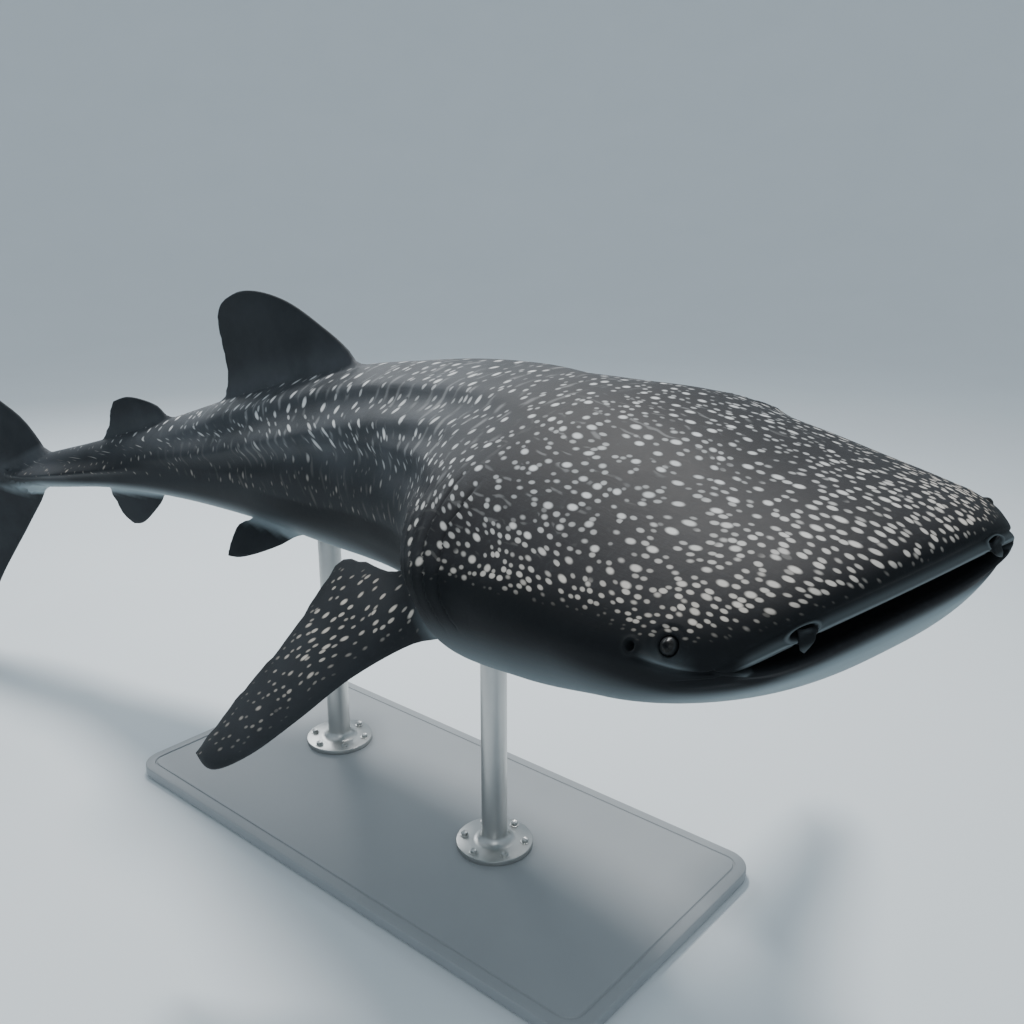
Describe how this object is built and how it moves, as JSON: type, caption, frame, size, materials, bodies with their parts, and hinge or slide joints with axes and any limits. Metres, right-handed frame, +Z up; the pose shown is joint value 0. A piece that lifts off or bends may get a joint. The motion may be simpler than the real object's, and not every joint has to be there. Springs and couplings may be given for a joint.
{
  "type": "whale shark",
  "caption": "Life-size whale shark model, swimming with its tail swung to its right and its mouth nearly closed, held on a flat base by rods.",
  "frame": {"origin": "centre of the bounding box at the underside of the stand's base", "axes": "+X towards the snout, +Y to the shark's left, +Z up"},
  "size_m": [6.9387, 2.6203, 2.3847],
  "materials": {
    "skin": "satin",
    "eye": "gloss",
    "stand_base": "matte",
    "stand_rod": "brushed"
  },
  "bodies": {
    "root": {"head": "skin", "gill_region": "skin", "trunk": "skin", "tail": "skin", "first_dorsal_fin": "skin", "second_dorsal_fin": "skin", "anal_fin": "skin", "caudal_fin_upper": "skin", "caudal_fin_lower": "skin", "pectoral_fin_left": "skin", "pectoral_fin_right": "skin", "pelvic_fin_left": "skin", "pelvic_fin_right": "skin", "nasal_barbel_left": "skin", "nasal_barbel_right": "skin", "lower_jaw": "skin", "eye_left": "eye", "eye_right": "eye", "stand_base": "stand_base", "stand_rod_front": "stand_rod", "stand_rod_rear": "stand_rod"}
  },
  "joints": []
}
